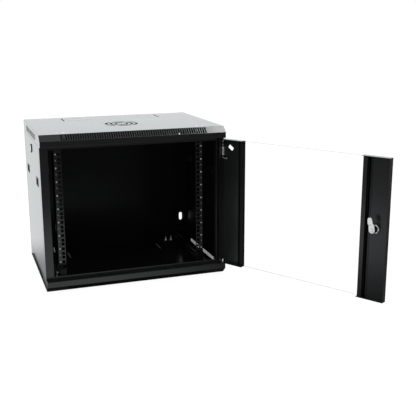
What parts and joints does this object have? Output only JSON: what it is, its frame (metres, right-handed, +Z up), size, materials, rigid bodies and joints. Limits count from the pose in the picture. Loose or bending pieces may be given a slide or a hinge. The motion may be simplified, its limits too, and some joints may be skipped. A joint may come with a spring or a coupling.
{
  "type": "wall mount network cabinet",
  "caption": "Black steel wall mount network cabinet with an open glass door, removable side panels, vented top and base, and inner rack rails.",
  "frame": {"origin": "middle of the base's underside: half the width, half the depth, bottom face of the floor pan", "axes": "+Z up, +Y backwards to the wall, +X to the hinge side (right as seen from the front)"},
  "size_m": [0.9038, 0.9579, 0.501],
  "materials": {
    "black_steel": "semi-gloss fine-texture powder coat",
    "rail_steel": "satin powder coat with white unit marks",
    "zinc_steel": "bright zinc plate",
    "chrome": "polished plating",
    "clear_glass": "clear toughened",
    "black_rubber": "matt",
    "black_plastic": "moulded, fine grain"
  },
  "bodies": {
    "cabinet": {"top_frame": "black_steel", "bottom_frame": "black_steel", "front_post_left": "black_steel", "front_post_right": "black_steel", "rear_post_left": "black_steel", "rear_post_right": "black_steel", "rear_panel": "black_steel", "rail_left": "rail_steel", "rail_right": "rail_steel", "bracket_top_left": "black_steel", "bracket_top_right": "black_steel", "bracket_bottom_left": "black_steel", "bracket_bottom_right": "black_steel", "foot_screws": "zinc_steel", "foot_nuts": "zinc_steel", "rail_bolts": "zinc_steel", "rail_nuts": "zinc_steel", "fixed_pin": "zinc_steel", "pin_washer": "zinc_steel"},
    "door": {"door_hinge_strip": "black_steel", "door_lock_strip": "black_steel", "glass_retainer_hinge": "black_steel", "glass_retainer_lock": "black_steel", "glass_gasket_hinge": "black_rubber", "glass_gasket_lock": "black_rubber", "door_seal_hinge": "black_rubber", "door_seal_lock": "black_rubber", "door_glass": "clear_glass", "door_lock_barrel": "chrome", "door_lock_nut": "chrome", "pin_bracket": "black_steel", "pin_spring": "zinc_steel"},
    "door_lock": {"door_lock_core": "chrome", "door_lock_cam": "chrome", "door_lock_screw": "zinc_steel"},
    "hinge_pin": {"sprung_pin": "zinc_steel", "pin_collar": "zinc_steel"},
    "side_panel_left": {"side_panel_left": "black_steel", "side_lock_barrel_left": "chrome", "side_lock_nut_left": "chrome", "latch_box_front_left": "black_plastic", "latch_box_rear_left": "black_plastic"},
    "side_lock_left": {"side_lock_core_left": "chrome", "side_lock_cam_left": "chrome", "side_lock_screw_left": "zinc_steel"},
    "latch_front_left": {"latch_slide_front_left": "black_plastic"},
    "latch_rear_left": {"latch_slide_rear_left": "black_plastic"},
    "side_panel_right": {"side_panel_right": "black_steel", "side_lock_barrel_right": "chrome", "side_lock_nut_right": "chrome", "latch_box_front_right": "black_plastic", "latch_box_rear_right": "black_plastic"},
    "side_lock_right": {"side_lock_core_right": "chrome", "side_lock_cam_right": "chrome", "side_lock_screw_right": "zinc_steel"},
    "latch_front_right": {"latch_slide_front_right": "black_plastic"},
    "latch_rear_right": {"latch_slide_rear_right": "black_plastic"}
  },
  "joints": [
    {"name": "door_hinge", "type": "hinge", "parent": "cabinet", "child": "door", "pos_m": [0.2931, -0.2175, 0.2505], "axis": [0, 0, 1], "range_deg": [-120.7, 88]},
    {"name": "door_lock_turn", "type": "hinge", "parent": "door", "child": "door_lock", "pos_m": [0.57126, -0.69088, 0.2505], "axis": [0.8599, 0.5105, 0], "range_deg": [0, 98]},
    {"name": "hinge_pin_slide", "type": "slide", "parent": "door", "child": "hinge_pin", "axis": [0, 0, -1], "range_m": [0, 0.012], "stiffness_N_per_m": 400, "springref_m": -0.008, "deforming": ["pin_spring"]},
    {"name": "side_panel_left_pull", "type": "slide", "parent": "cabinet", "child": "side_panel_left", "axis": [1, 0, 0], "range_m": [-0.06, 0]},
    {"name": "side_lock_left_turn", "type": "hinge", "parent": "side_panel_left", "child": "side_lock_left", "pos_m": [-0.29, 0.015, 0.429], "axis": [1, 0, 0], "range_deg": [0, 90]},
    {"name": "latch_front_left_slide", "type": "slide", "parent": "side_panel_left", "child": "latch_front_left", "axis": [0, -1, 0], "range_m": [0, 0.011]},
    {"name": "latch_rear_left_slide", "type": "slide", "parent": "side_panel_left", "child": "latch_rear_left", "axis": [0, 1, 0], "range_m": [0, 0.011]},
    {"name": "side_panel_right_pull", "type": "slide", "parent": "cabinet", "child": "side_panel_right", "axis": [-1, 0, 0], "range_m": [-0.06, 0]},
    {"name": "side_lock_right_turn", "type": "hinge", "parent": "side_panel_right", "child": "side_lock_right", "pos_m": [0.29, 0.015, 0.429], "axis": [1, 0, 0], "range_deg": [0, 90]},
    {"name": "latch_front_right_slide", "type": "slide", "parent": "side_panel_right", "child": "latch_front_right", "axis": [0, -1, 0], "range_m": [0, 0.011]},
    {"name": "latch_rear_right_slide", "type": "slide", "parent": "side_panel_right", "child": "latch_rear_right", "axis": [0, 1, 0], "range_m": [0, 0.011]}
  ]
}
